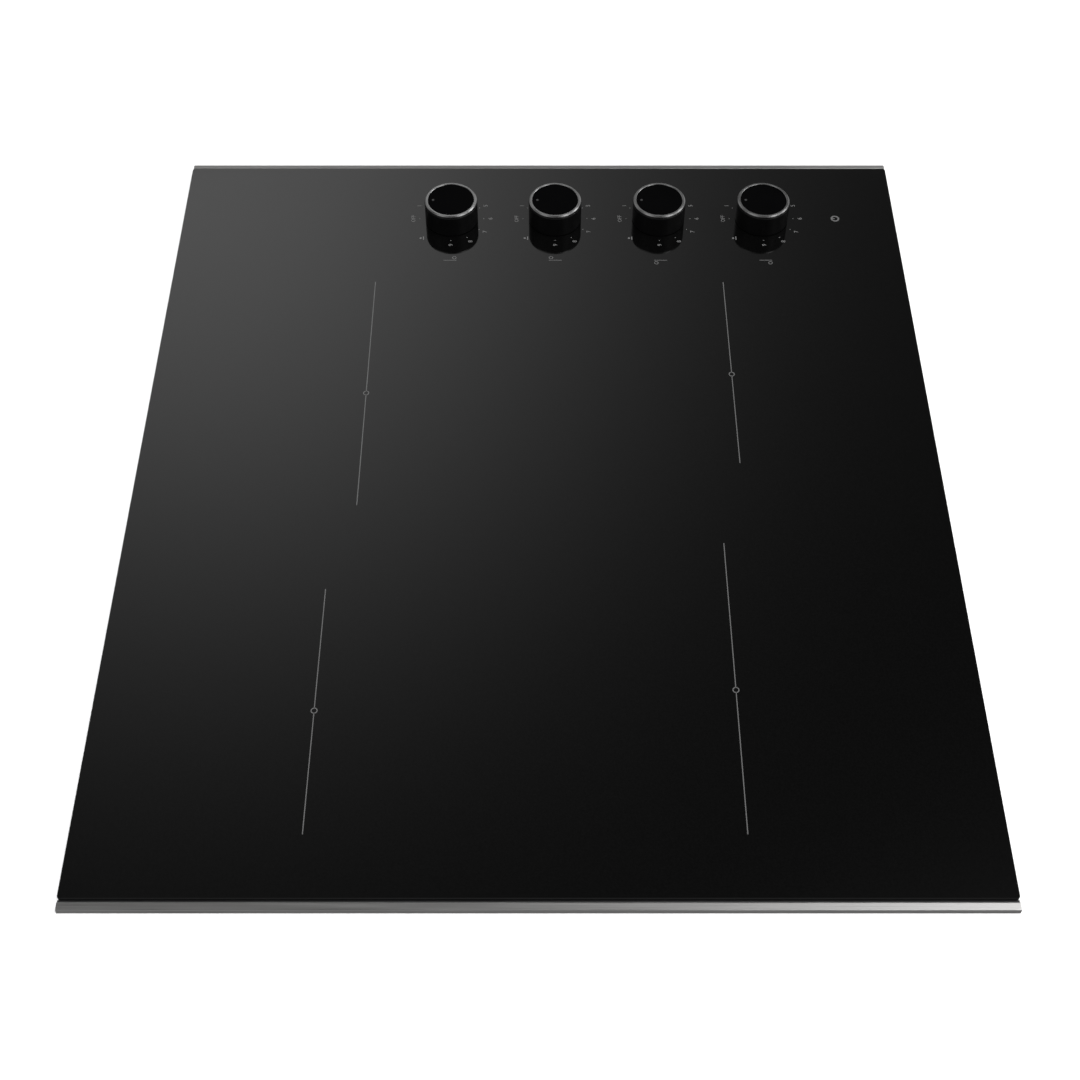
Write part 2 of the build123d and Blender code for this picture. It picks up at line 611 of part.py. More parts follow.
def control_bracket():
    """A channel under the glass, on two end legs that stand on the pan's floor."""
    rear = REAR_KNOB_Y + BRACKET_END_MARGIN
    front = -LEG_DEPTH / 2 + FRAME_SHEET + BRACKET_FRONT_GAP
    left, right = KNOB_X - BRACKET_WIDTH / 2, KNOB_X + BRACKET_WIDTH / 2
    leg_x = (KNOB_X - BRACKET_LEG_WIDTH / 2, KNOB_X + BRACKET_LEG_WIDTH / 2)
    top = (BRACKET_UNDERSIDE, BRACKET_TOP)
    bracket = box((left, right), (front, rear), top)
    hem = (BRACKET_TOP - BRACKET_HEM, BRACKET_TOP)
    for edge in ((left, left + BRACKET_SHEET), (right - BRACKET_SHEET, right)):
        bracket += box(edge, (front, rear), hem)
    for leg_start, foot_start in ((front, front), (rear - BRACKET_SHEET, rear - BRACKET_FOOT)):
        leg = (leg_start, leg_start + BRACKET_SHEET)
        foot = (foot_start, foot_start + BRACKET_FOOT)
        bracket += box(leg_x, leg, (PAN_FLOOR, BRACKET_TOP))
        bracket += box(leg_x, foot, (PAN_FLOOR, PAN_FLOOR + BRACKET_SHEET))
    for y in KNOB_YS:
        bracket -= rod(KNOB_X, y, *hem, COLLAR_DIAMETER / 2 + COLLAR_GAP)
        for side in (-1, 1):
            screw_y = y + side * REGULATOR_SCREW_SPACING / 2
            bracket -= rod(KNOB_X, screw_y, *hem, SCREW_HOLE_RADIUS)
    return bracket - rod(KNOB_X, LAMP_Y, *hem, LAMP_DIAMETER / 2 + SCREW_HOLE_GAP)


def indicator_lamp():
    """A pilot lamp clipped into the bracket, with its lens just under the glass."""
    lens_top = GLASS_BOTTOM - LAMP_GAP
    lamp = rod(KNOB_X, LAMP_Y, BRACKET_TOP - LAMP_LENGTH, BRACKET_TOP, LAMP_DIAMETER / 2)
    flange_top = BRACKET_TOP + LAMP_FLANGE
    lamp += rod(KNOB_X, LAMP_Y, BRACKET_TOP, flange_top, LAMP_FLANGE_DIAMETER / 2)
    return lamp + rod(KNOB_X, LAMP_Y, flange_top, lens_top, LAMP_LENS_DIAMETER / 2)


def shaft_seals():
    """Silicone grommets that close the glass's holes around the shafts."""
    bore = SHAFT_DIAMETER / 2 + SHAFT_RUNNING_GAP
    sleeve = GLASS_HOLE_DIAMETER / 2 - GROMMET_GAP
    below = GLASS_BOTTOM - GROMMET_FLANGE
    seals = []
    for y in KNOB_YS:
        seal = rod(KNOB_X, y, below, GLASS_TOP, sleeve)
        seal += rod(KNOB_X, y, below, GLASS_BOTTOM, GROMMET_FLANGE_DIAMETER / 2)
        seals.append(seal - rod(KNOB_X, y, below - 1, GLASS_TOP + 1, bore))
    return seals


def d_section(growth):
    """The shaft's D-shaped outline, grown all round by a clearance."""
    radius = SHAFT_DIAMETER / 2 + growth
    flat = SHAFT_DIAMETER / 2 - SHAFT_FLAT_DEPTH + growth
    return Circle(radius) - Pos(0, flat + radius) * Rectangle(4 * radius, 2 * radius)


def control_shaft(y):
    bottom = BRACKET_UNDERSIDE - SHAFT_DEPTH_IN_REGULATOR
    flat_start = KNOB_BOTTOM + KNOB_WALL
    top = flat_start + SHAFT_SOCKET_DEPTH
    shaft = rod(KNOB_X, y, bottom, flat_start, SHAFT_DIAMETER / 2)
    return shaft + extrude(Pos(KNOB_X, y, flat_start) * d_section(0), top - flat_start)


def knob_body(y):
    """The moulded shell: a cap with a wall, a boss for the shaft and four ribs."""
    radius = KNOB_DIAMETER / 2
    shell = rod(0, 0, KNOB_BOTTOM, KNOB_SEAT, radius)
    shell = chamfer(shell.edges().group_by(Axis.Z)[-1], KNOB_SHOULDER)
    ceiling = KNOB_SEAT - KNOB_WALL
    shell -= rod(0, 0, KNOB_BOTTOM - 1, ceiling, radius - KNOB_WALL)
    boss_bottom = KNOB_BOTTOM + KNOB_WALL
    ribs = (boss_bottom + KNOB_WALL, ceiling)
    reach = radius - KNOB_WALL / 2
    shell += box((-reach, reach), (-KNOB_RIB / 2, KNOB_RIB / 2), ribs)
    shell += box((-KNOB_RIB / 2, KNOB_RIB / 2), (-reach, reach), ribs)
    shell += rod(0, 0, boss_bottom, ceiling, KNOB_BOSS_DIAMETER / 2)
    socket = Pos(0, 0, boss_bottom - 1) * d_section(SOCKET_GAP)
    shell -= extrude(socket, SHAFT_SOCKET_DEPTH + 1)
    return Pos(KNOB_X, y, 0) * shell


def knob_ring(y):
    top = GLASS_TOP + KNOB_HEIGHT
    ring = rod(0, 0, KNOB_SEAT, top, RING_DIAMETER / 2)
    ring = chamfer(ring.edges().group_by(Axis.Z)[-1], RING_BEVEL)
    ring -= rod(0, 0, KNOB_SEAT - 1, top + 1, RING_BORE / 2)
    bore_edge = ring.edges().filter_by(GeomType.CIRCLE).group_by(Axis.Z)[-1].sort_by(SortBy.RADIUS)[0]
    ring = chamfer(bore_edge, RING_INNER_BEVEL)
    return Pos(KNOB_X, y, 0) * ring


def knob_disc(y):
    top = GLASS_TOP + KNOB_HEIGHT - DISC_RECESS
    disc = rod(0, 0, KNOB_SEAT, top, RING_BORE / 2 - DISC_GAP)
    return Pos(KNOB_X, y, 0) * chamfer(disc.edges().group_by(Axis.Z)[-1], DISC_EDGE)


# ---- Mains terminals ----
def terminal_housing():
    """A moulded box in the pan's rear wall, open to the rear, with the cover's hinge ears."""
    half, top = HOUSING_WIDTH / 2, HOUSING_BOTTOM + HOUSING_HEIGHT
    inner_y = COLLAR_FACE_Y - HOUSING_DEPTH
    housing = box((-half, half), (inner_y, COLLAR_FACE_Y), (HOUSING_BOTTOM, top))
    rim = half + COLLAR_BORDER
    rim_z = (HOUSING_BOTTOM - COLLAR_BORDER, top + COLLAR_BORDER)
    housing += box((-rim, rim), (REAR_WALL_Y, COLLAR_FACE_Y), rim_z)
    wall = HOUSING_WALL
    hollow = (HOUSING_BOTTOM + wall, top - wall)
    housing -= box((-half + wall, half - wall), (inner_y + wall, COLLAR_FACE_Y + 1), hollow)
    notch_y = REAR_WALL_Y - PAN_SHEET - WIRE_NOTCH
    notch = (hollow[0], hollow[0] + WIRE_NOTCH)
    housing -= box((half - 2 * wall, half + 1), (notch_y - WIRE_NOTCH, notch_y), notch)
    for side in (-1, 1):
        ear_x = sorted((side * rim, side * (rim - EAR_THICKNESS)))
        ear = box(ear_x, (COLLAR_FACE_Y - 1, HINGE_Y), (HINGE_Z - BARREL_RADIUS, HINGE_Z + BARREL_RADIUS))
        middle = sum(ear_x) / 2
        barrel = Pos(middle, HINGE_Y, HINGE_Z) * Rot(0, 90, 0)
        ear += barrel * Cylinder(BARREL_RADIUS, EAR_THICKNESS)
        ear -= barrel * Cylinder(HINGE_PIN_RADIUS + HINGE_RUNNING_GAP, 2 * EAR_THICKNESS)
        housing += ear
    return Pos(TERMINAL_X, 0, 0) * housing


def terminal_cover():
    """The flap that closes the terminal housing; it folds down on two stub pins."""
    half = HOUSING_WIDTH / 2 + COLLAR_BORDER - EAR_THICKNESS - COVER_SIDE_GAP
    top = HOUSING_BOTTOM + HOUSING_HEIGHT + COLLAR_BORDER
    face = COLLAR_FACE_Y + COVER_GAP
    cover = box((-half, half), (face, face + COVER_THICKNESS), (HINGE_Z, top))
    cover += Pos(0, HINGE_Y, HINGE_Z) * Rot(0, 90, 0) * Cylinder(BARREL_RADIUS, 2 * half)
    pin_reach = half + COVER_SIDE_GAP + EAR_THICKNESS - HINGE_PIN_END_GAP
    cover += Pos(0, HINGE_Y, HINGE_Z) * Rot(0, 90, 0) * Cylinder(HINGE_PIN_RADIUS, 2 * pin_reach)
    tab_half = COVER_TAB_WIDTH / 2
    cover += box((-tab_half, tab_half), (face, face + COVER_THICKNESS), (top - 1, top + COVER_TAB_REACH))
    return Pos(TERMINAL_X, 0, 0) * cover


def pole_xs():
    return [(index - (BLOCK_POLES - 1) / 2) * BLOCK_POLE_PITCH for index in range(BLOCK_POLES)]


def block_limits():
    """The terminal block's depth and height limits: it stands on the housing's floor."""
    _, depth, height = BLOCK_SIZE
    back = COLLAR_FACE_Y - HOUSING_DEPTH + HOUSING_WALL
    floor = HOUSING_BOTTOM + HOUSING_WALL
    return (back, back + depth), (floor, floor + height)


def terminal_block():
    block_y, block_z = block_limits()
    width, face, middle = BLOCK_SIZE[0], block_y[1], sum(block_z) / 2
    block = box((-width / 2, width / 2), block_y, block_z)
    quarter = (block_z[1] - block_z[0]) / 4
    for x in pole_xs():
        wire = Pos(x, face, middle - quarter) * Rot(90, 0, 0)
        block -= wire * Cylinder(WIRE_HOLE_RADIUS, 2 * WIRE_HOLE_DEPTH)
        reach = TERMINAL_SCREW_LENGTH + TERMINAL_SCREW_RECESS
        thread = Pos(x, face, middle + quarter) * Rot(90, 0, 0)
        block -= thread * Cylinder(TERMINAL_SCREW_RADIUS + TERMINAL_SCREW_GAP, 2 * reach)
    return Pos(TERMINAL_X, 0, 0) * block


def terminal_screws():
    block_y, block_z = block_limits()
    level = sum(block_z) / 2 + (block_z[1] - block_z[0]) / 4
    start = block_y[1] - TERMINAL_SCREW_RECESS - TERMINAL_SCREW_LENGTH
    slot = Pos(0, 0, TERMINAL_SCREW_LENGTH) * Box(4 * TERMINAL_SCREW_RADIUS, RECESS_WIDTH, RECESS_DEPTH)
    one = rod(0, 0, 0, TERMINAL_SCREW_LENGTH, TERMINAL_SCREW_RADIUS) - slot
    return [Pos(TERMINAL_X + x, start, level) * Rot(-90, 0, 0) * one for x in pole_xs()]


def cable_inlet():
    """The rubber bush in the pocket of the pan's floor that the supply cable comes through."""
    plate_bottom = INLET_PLATE - PAN_SHEET
    bottom = plate_bottom - INLET_FLANGE_HEIGHT
    bush = rod(INLET_X, INLET_Y, bottom, bottom + INLET_LENGTH, INLET_BODY / 2)
    bush += rod(INLET_X, INLET_Y, bottom, plate_bottom, INLET_FLANGE / 2)
    bush += rod(INLET_X, INLET_Y, INLET_PLATE, INLET_PLATE + INLET_FLANGE_HEIGHT, INLET_FLANGE / 2)
    return bush - rod(INLET_X, INLET_Y, bottom - 1, bottom + INLET_LENGTH + 1, INLET_BORE / 2)


# ---- Wiring ----
def heater_wires(level, zone, knob_y):
    """The pair of wires from one heater's head to its regulator, at its own height."""
    x, y, diameter = ZONES[zone]
    head_x = x + diameter / 2 + HEAD_STAND_OFF + LIMITER_HEAD[0] / 2
    run_z = PAN_FLOOR + WIRE_FLOOR_GAP + WIRE_RADIUS + level * WIRE_LEVEL_PITCH
    turning = 1 if knob_y > y else -1
    wires = []
    for side in (-1, 1):
        offset_y = side * WIRE_PAIR_HALF
        lane_x = WIRE_LANE_X - side * turning * WIRE_LANE_PITCH
        path = FilletPolyline(
            (head_x, y + offset_y, HEAD_BOTTOM),
            (head_x, y + offset_y, run_z),
            (lane_x, y + offset_y, run_z),
            (lane_x, knob_y + offset_y, run_z),
            (WIRE_RISE_X, knob_y + offset_y, run_z),
            (WIRE_RISE_X, knob_y + offset_y, REGULATOR_BOTTOM),
            radius=WIRE_BEND_RADIUS,
        )
        start = Plane(origin=path @ 0, z_dir=path % 0)
        wires.append(sweep(start * Circle(WIRE_RADIUS), path=path))
    return wires


def heater_wiring():
    levels = ["rear_left", "front_left", "rear_right", "front_right"]
    wires = []
    for zone, knob_y in zip(KNOB_ZONES, KNOB_YS):
        wires += heater_wires(levels.index(zone), zone, knob_y)
    return wires


# ---- Nodes ----
def single_nodes():
    return {
        "glass_top": glass_top(),
        "side_trim_left": side_trim("left"),
        "side_trim_right": side_trim("right"),
        "worktop_seal": worktop_seal(),
        "glass_bond": [glass_bond(), *edge_beads()],
        "support_frame": support_frame(),
        "bottom_pan": bottom_pan(),
        "pan_screws": pan_screws(),
        "clamp_screws": clamp_screws(),
        "heater_springs": heater_springs(),
        "heater_wiring": heater_wiring(),
        "control_bracket": control_bracket(),
        "regulator_screws": regulator_screws(),
        "shaft_seals": shaft_seals(),
        "indicator_lamp": indicator_lamp(),
        "terminal_housing": terminal_housing(),
        "terminal_block": terminal_block(),
        "terminal_screws": terminal_screws(),
        "terminal_cover": terminal_cover(),
        "cable_inlet": cable_inlet(),
    }


def heater_nodes():
    nodes = {}
    for zone, (x, y, diameter) in ZONES.items():
        radius = diameter / 2
        place = Pos(x, y, 0)
        nodes[f"heater_dish_{zone}"] = place * heater_dish(radius)
        nodes[f"heater_insulation_{zone}"] = place * heater_insulation(radius)
        nodes[f"heater_ribbon_{zone}"] = place * heater_ribbon(radius)
        nodes[f"heater_limiter_{zone}"] = place * heater_limiter(radius)
    return nodes


def control_nodes():
    nodes = {}
    for number, y in enumerate(KNOB_YS, start=1):
        nodes[f"energy_regulator_{number}"] = energy_regulator(y)
        nodes[f"control_shaft_{number}"] = control_shaft(y)
        nodes[f"knob_body_{number}"] = knob_body(y)
        nodes[f"knob_ring_{number}"] = knob_ring(y)
        nodes[f"knob_disc_{number}"] = knob_disc(y)
    return nodes


def clamp_nodes():
    places = enumerate(clamp_places(), start=1)
    return {f"worktop_clamp_{number}": worktop_clamp(*place) for number, place in places}


os.makedirs("parts", exist_ok=True)
for name, shape in {**single_nodes(), **heater_nodes(), **control_nodes(), **clamp_nodes()}.items():
    solids = shape if isinstance(shape, list) else [shape]
    node = solids[0] if len(solids) == 1 else Compound(children=[s.solid() for s in solids])
    export_step(node, f"parts/{name}.step")
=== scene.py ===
import json
import math

import bmesh
import bpy
from mathutils import Matrix, Vector


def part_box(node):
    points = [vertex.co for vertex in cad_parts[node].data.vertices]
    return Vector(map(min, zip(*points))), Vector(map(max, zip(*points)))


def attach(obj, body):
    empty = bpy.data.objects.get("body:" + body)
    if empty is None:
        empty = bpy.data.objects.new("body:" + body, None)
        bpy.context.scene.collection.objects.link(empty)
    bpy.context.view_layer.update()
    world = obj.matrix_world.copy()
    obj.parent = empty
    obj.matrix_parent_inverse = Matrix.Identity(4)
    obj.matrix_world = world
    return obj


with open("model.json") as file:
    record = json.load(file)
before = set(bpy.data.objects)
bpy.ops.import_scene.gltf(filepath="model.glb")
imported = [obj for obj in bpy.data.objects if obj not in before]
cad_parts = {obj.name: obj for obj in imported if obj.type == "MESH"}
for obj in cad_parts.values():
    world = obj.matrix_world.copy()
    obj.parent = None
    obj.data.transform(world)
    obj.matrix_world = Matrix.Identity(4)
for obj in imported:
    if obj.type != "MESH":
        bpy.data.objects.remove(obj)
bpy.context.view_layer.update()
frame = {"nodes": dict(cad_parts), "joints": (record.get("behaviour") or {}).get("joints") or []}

MM = 0.001
GLASS_LOW, GLASS_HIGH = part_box("glass_top")
GLASS_TOP = GLASS_HIGH.z
ZONES = ("rear_left", "front_left", "rear_right", "front_right")
KNOB_NUMBERS = (1, 2, 3, 4)


def knob_axis(number):
    """The point on the glass where a knob's axis passes, from its joint."""
    joint = next(j for j in frame["joints"] if j["name"] == f"knob_{number}_turn")
    return Vector((joint["pos_m"][0], joint["pos_m"][1], GLASS_TOP))


# ---- Camera ----
CAMERA_FROM_MIDDLE = Vector((-0.708, -0.0008, 0.8385))
CAMERA_PITCH = 52.03
CAMERA_LENS = 57.75
SENSOR_WIDTH = 36.0
CLIP_END = 50.0


def make_camera():
    """The photograph's view: from the left side, looking along +X and down."""
    data = bpy.data.cameras.new("camera")
    data.sensor_width = SENSOR_WIDTH
    data.lens = CAMERA_LENS
    data.clip_end = CLIP_END
    camera = bpy.data.objects.new("camera", data)
    bpy.context.scene.collection.objects.link(camera)
    middle = (GLASS_LOW + GLASS_HIGH) / 2
    camera.location = Vector((middle.x, middle.y, GLASS_TOP)) + CAMERA_FROM_MIDDLE
    pitch = math.radians(CAMERA_PITCH)
    ahead = Vector((math.cos(pitch), 0.0, -math.sin(pitch)))
    camera.rotation_euler = ahead.to_track_quat("-Z", "Y").to_euler()
    bpy.context.scene.camera = camera


make_camera()


# ---- Studio ----
FLOOR_SIZE = 5.0
FLOOR_DROP = 0.02 * MM
CUTOUT_MARGIN = 4 * MM
# each glow: azimuth from +X towards +Y, elevation, tightness, brightness
HIGH_GLOWS = (
    (15.2, 39.8, 40.4, 1.68),
    (-95.0, 68.0, 40.0, 7.0),
    (125.0, 44.0, 16.0, 0.9),
    (-128.0, 44.0, 60.0, 3.0),
)
LOW_GLOWS = (
    (-34.0, 14.0, 14.0, 1.1),
    (-100.0, 18.0, 10.0, 0.8),
    (-80.0, 30.0, 110.0, 5.0),
    (180.0, 20.0, 4.0, 0.35),
    (62.0, 18.0, 10.0, 0.5),
)
# sines of the elevations between which the low glows give way to the high ones
LOW_GLOW_FADE = (0.56, 0.635)
GLOW_FLOOR = 0.045
UNDER_GLOW = 0.16
UNDER_LEVEL = -0.02
BACKDROP = 1.3
# each soft box: name, position, size, power
SOFT_BOXES = (
    ("overhead", (-0.4, 0.0, 2.6), (2.4, 2.4), 90.0),
    ("side_fill", (0.3, -2.2, 1.6), (1.6, 1.2), 25.0),
    ("under_fill", (0.6, 0.9, -1.8), (1.6, 1.6), 45.0),
)


def direction(azimuth, elevation):
    a, e = math.radians(azimuth), math.radians(elevation)
    return (math.cos(a) * math.cos(e), math.sin(a) * math.cos(e), math.sin(e))


def math_node(tree, operation, first, second=None):
    """A Math node; each of its inputs is a socket or a number."""
    node = tree.nodes.new("ShaderNodeMath")
    node.operation = operation
    for index, value in enumerate((first, second)):
        if value is None:
            continue
        if isinstance(value, (int, float)):
            node.inputs[index].default_value = value
        else:
            tree.links.new(value, node.inputs[index])
    return node.outputs[0]


def glows(tree, outward, lobes):
    """The brightness of some soft round lights, by direction."""
    total = 0.0
    for azimuth, elevation, tightness, brightness in lobes:
        dot = tree.nodes.new("ShaderNodeVectorMath")
        dot.operation = "DOT_PRODUCT"
        tree.links.new(outward, dot.inputs[0])
        dot.inputs[1].default_value = direction(azimuth, elevation)
        away = math_node(tree, "SUBTRACT", dot.outputs["Value"], 1.0)
        fall = math_node(tree, "EXPONENT", math_node(tree, "MULTIPLY", away, tightness))
        total = math_node(tree, "ADD", math_node(tree, "MULTIPLY", fall, brightness), total)
    return total


def make_world():
    """Soft studio surroundings: a few broad glows on dark grey, white to the camera."""
    world = bpy.data.worlds.new("studio")
    bpy.context.scene.world = world
    world.use_nodes = True
    tree = world.node_tree
    tree.nodes.clear()
    outward = tree.nodes.new("ShaderNodeTexCoord").outputs["Generated"]
    split = tree.nodes.new("ShaderNodeSeparateXYZ")
    tree.links.new(outward, split.inputs[0])
    height = split.outputs["Z"]
    fade = ramp(tree, height, 1.0, 0.0, *LOW_GLOW_FADE)
    rise = math_node(tree, "SUBTRACT", 1.0, fade)
    low = math_node(tree, "MULTIPLY", glows(tree, outward, LOW_GLOWS), fade)
    high = math_node(tree, "MULTIPLY", glows(tree, outward, HIGH_GLOWS), rise)
    under = math_node(tree, "LESS_THAN", height, UNDER_LEVEL)
    total = math_node(tree, "ADD", math_node(tree, "ADD", low, high), GLOW_FLOOR)
    total = math_node(tree, "ADD", total, math_node(tree, "MULTIPLY", under, UNDER_GLOW))
    sight = tree.nodes.new("ShaderNodeLightPath").outputs["Is Camera Ray"]
    seen = math_node(tree, "MULTIPLY", sight, BACKDROP)
    unseen = math_node(tree, "MULTIPLY", total, math_node(tree, "SUBTRACT", 1.0, sight))
    background = tree.nodes.new("ShaderNodeBackground")
    tree.links.new(math_node(tree, "ADD", unseen, seen), background.inputs["Strength"])
    output = tree.nodes.new("ShaderNodeOutputWorld")
    tree.links.new(background.outputs[0], output.inputs["Surface"])


def soft_box(name, position, size, power):
    """An area light, aimed at the origin, that isn't mirrored in the glass."""
    data = bpy.data.lights.new(name, "AREA")
    data.shape, data.size, data.size_y = "RECTANGLE", size[0], size[1]
    data.energy = power
    light = bpy.data.objects.new(name, data)
    bpy.context.scene.collection.objects.link(light)
    light.location = position
    light.rotation_euler = (-Vector(position)).to_track_quat("-Z", "Y").to_euler()
    light.visible_glossy = False


def make_floor():
    """The worktop the glass rests on: a pale plane with a cut-out for the pan."""
    low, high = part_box("support_frame")
    edge = FLOOR_SIZE / 2
    grid_x = (-edge, low.x - CUTOUT_MARGIN, high.x + CUTOUT_MARGIN, edge)
    grid_y = (-edge, low.y - CUTOUT_MARGIN, high.y + CUTOUT_MARGIN, edge)
    corners = [(x, y, -FLOOR_DROP) for y in grid_y for x in grid_x]
    starts = [row * 4 + col for row in range(3) for col in range(3) if (row, col) != (1, 1)]
    faces = [(start, start + 1, start + 5, start + 4) for start in starts]
    mesh = bpy.data.meshes.new("floor")
    mesh.from_pydata(corners, [], faces)
    mesh.materials.append(floor_paint())
    floor = bpy.data.objects.new("floor", mesh)
    bpy.context.scene.collection.objects.link(floor)
    floor.visible_glossy = False


# ---- Materials ----
def shader(name):
    """A new material: itself, its node tree and its Principled shader."""
    made = bpy.data.materials.new(name)
    made.use_nodes = True
    tree = made.node_tree
    return made, tree, tree.nodes["Principled BSDF"]


def set_inputs(bsdf, **values):
    for name, value in values.items():
        bsdf.inputs[name.replace("_", " ")].default_value = value


def drive(tree, bsdf, color, roughness):
    """Links a colour and a roughness to the shader."""
    tree.links.new(color, bsdf.inputs["Base Color"])
    tree.links.new(roughness, bsdf.inputs["Roughness"])


def place(tree, scale=(1.0, 1.0, 1.0), offset=(0.0, 0.0, 0.0)):
    """The piece's own coordinates, moved and stretched."""
    coordinates = tree.nodes.new("ShaderNodeTexCoord")
    mapping = tree.nodes.new("ShaderNodeMapping")
    mapping.inputs["Location"].default_value = offset
    mapping.inputs["Scale"].default_value = scale
    tree.links.new(coordinates.outputs["Object"], mapping.inputs["Vector"])
    return mapping.outputs["Vector"]


def noise(tree, vector, scale, detail=3.0, roughness=0.5):
    node = tree.nodes.new("ShaderNodeTexNoise")
    node.inputs["Scale"].default_value = scale
    node.inputs["Detail"].default_value = detail
    node.inputs["Roughness"].default_value = roughness
    tree.links.new(vector, node.inputs["Vector"])
    return node.outputs["Fac"]


def cells(tree, scale):
    """A pattern of small cells, one output for each of its measures."""
    node = tree.nodes.new("ShaderNodeTexVoronoi")
    node.inputs["Scale"].default_value = scale
    tree.links.new(place(tree), node.inputs["Vector"])
    return node.outputs


def ramp(tree, factor, low, high, start=0.3, end=0.7):
    """A number that runs from low to high as the factor runs from start to end."""
    node = tree.nodes.new("ShaderNodeMapRange")
    node.inputs["From Min"].default_value = start
    node.inputs["From Max"].default_value = end
    node.inputs["To Min"].default_value = low
    node.inputs["To Max"].default_value = high
    tree.links.new(factor, node.inputs["Value"])
    return node.outputs["Result"]


def tint(tree, factor, dark, light, start=0.3, end=0.7):
    """A colour that runs from dark to light as the factor runs from start to end."""
    node = tree.nodes.new("ShaderNodeValToRGB")
    stops = node.color_ramp.elements
    stops[0].position, stops[1].position = start, end
    stops[0].color, stops[1].color = (*dark, 1.0), (*light, 1.0)
    tree.links.new(factor, node.inputs["Fac"])
    return node.outputs["Color"]


def bump(tree, bsdf, height, strength, distance):
    node = tree.nodes.new("ShaderNodeBump")
    node.inputs["Strength"].default_value = strength
    node.inputs["Distance"].default_value = distance
    tree.links.new(height, node.inputs["Height"])
    tree.links.new(node.outputs["Normal"], bsdf.inputs["Normal"])


def grey(value, warm=0.0):
    return (value * (1 + warm), value, value * (1 - warm))


def scaled(colour, factor):
    return tuple(channel * factor for channel in colour)


def black_glass():
    """Polished glass-ceramic: near black, with faint waviness and smears in its gloss."""
    made, tree, bsdf = shader("black_glass_ceramic")
    set_inputs(bsdf, IOR=1.5)
    body = noise(tree, place(tree), 900.0, 2.0)
    smear = noise(tree, place(tree, (1.0, 1.6, 1.0)), 9.0, 5.0, 0.6)
    drive(tree, bsdf, tint(tree, body, grey(0.0009), grey(0.0016)), ramp(tree, smear, 0.035, 0.075))
    wave = noise(tree, place(tree), 55.0, 1.0)
    bump(tree, bsdf, wave, 0.02, 0.05 * MM)
    return made


def brushed(name, base, roughness, streak, anisotropic, axis):
    """Metal brushed along one axis: long fine streaks in its colour, gloss and relief."""
    made, tree, bsdf = shader(name)
    set_inputs(bsdf, Metallic=1.0, Anisotropic=anisotropic)
    tangent = tree.nodes.new("ShaderNodeTangent")
    tangent.direction_type, tangent.axis = "RADIAL", axis
    tree.links.new(tangent.outputs["Tangent"], bsdf.inputs["Tangent"])
    streaks = noise(tree, place(tree, streak), 1.0, 4.0, 0.65)
    shade = tint(tree, streaks, grey(base * 0.82, 0.01), grey(base * 1.12, 0.01))
    drive(tree, bsdf, shade, ramp(tree, streaks, roughness * 0.8, roughness * 1.25))
    bump(tree, bsdf, streaks, 0.12, 0.02 * MM)
    return made


def spun_metal(name, centre, base, roughness):
    """Bright metal turned on a lathe: fine rings about the knob's axis."""
    made, tree, bsdf = shader(name)
    set_inputs(bsdf, Metallic=1.0, Anisotropic=0.35)
    radius = tree.nodes.new("ShaderNodeVectorMath")
    radius.operation = "LENGTH"
    flat = place(tree, (1.0, 1.0, 0.0), (-centre.x, -centre.y, 0.0))
    tree.links.new(flat, radius.inputs[0])
    line = tree.nodes.new("ShaderNodeTexNoise")
    line.noise_dimensions = "1D"
    line.inputs["Scale"].default_value = 9000.0
    line.inputs["Detail"].default_value = 2.0
    tree.links.new(radius.outputs["Value"], line.inputs["W"])
    rings = line.outputs["Fac"]
    patch = noise(tree, place(tree), 160.0)
    shade = tint(tree, patch, grey(base * 0.9), grey(base * 1.1))
    drive(tree, bsdf, shade, ramp(tree, rings, roughness * 0.8, roughness * 1.3))
    bump(tree, bsdf, rings, 0.06, 0.01 * MM)
    return made


def moulded(name, colour, roughness, grain, relief, specular=0.5):
    """Moulded plastic or rubber: fine grain in its relief, and slight patches in its gloss."""
    made, tree, bsdf = shader(name)
    set_inputs(bsdf, Specular_IOR_Level=specular)
    fine = noise(tree, place(tree), grain, 2.0)
    patch = noise(tree, place(tree), 45.0, 4.0, 0.6)
    shade = tint(tree, patch, scaled(colour, 0.82), scaled(colour, 1.15))
    drive(tree, bsdf, shade, ramp(tree, patch, roughness * 0.88, roughness * 1.12))
    bump(tree, bsdf, fine, relief, 0.02 * MM)
    return made


def coated_sheet(name, base, roughness):
    """Zinc-coated sheet: small feathery crystals, and fine rolling marks along Y."""
    made, tree, bsdf = shader(name)
    set_inputs(bsdf, Metallic=0.9)
    split = tree.nodes.new("ShaderNodeSeparateColor")
    tree.links.new(cells(tree, 210.0)["Color"], split.inputs[0])
    feather = noise(tree, place(tree), 520.0, 4.0, 0.6)
    both = math_node(tree, "ADD", split.outputs[0], feather)
    crystal = math_node(tree, "MULTIPLY", both, 0.5)
    shade = tint(tree, crystal, grey(base * 0.84), grey(base * 1.08), 0.1, 0.9)
    drive(tree, bsdf, shade, ramp(tree, crystal, roughness * 0.75, roughness * 1.25, 0.1, 0.9))
    rolled = noise(tree, place(tree, (1.0, 0.08, 1.0)), 900.0)
    bump(tree, bsdf, rolled, 0.15, 0.02 * MM)
    return made


def cellular(name, colour, roughness, cell_scale, relief):
    """Foam or pressed fibre: small cells all over its surface, with painted shade darkening the
    pits of the cells.
    """
    made, tree, bsdf = shader(name)
    pit_depth_and_shade = cells(tree, cell_scale)["Distance"]
    wear = noise(tree, place(tree), 120.0, 4.0)
    gloss = ramp(tree, wear, roughness * 0.9, min(1.0, roughness * 1.1))
    # painted shade: the colour falls to 0.7 of itself in the pits of the cells, where the relief is
    # deepest
    drive(tree, bsdf, tint(tree, pit_depth_and_shade, scaled(colour, 0.7), colour, 0.0, 0.6), gloss)
    bump(tree, bsdf, pit_depth_and_shade, relief, 0.1 * MM)
    return made


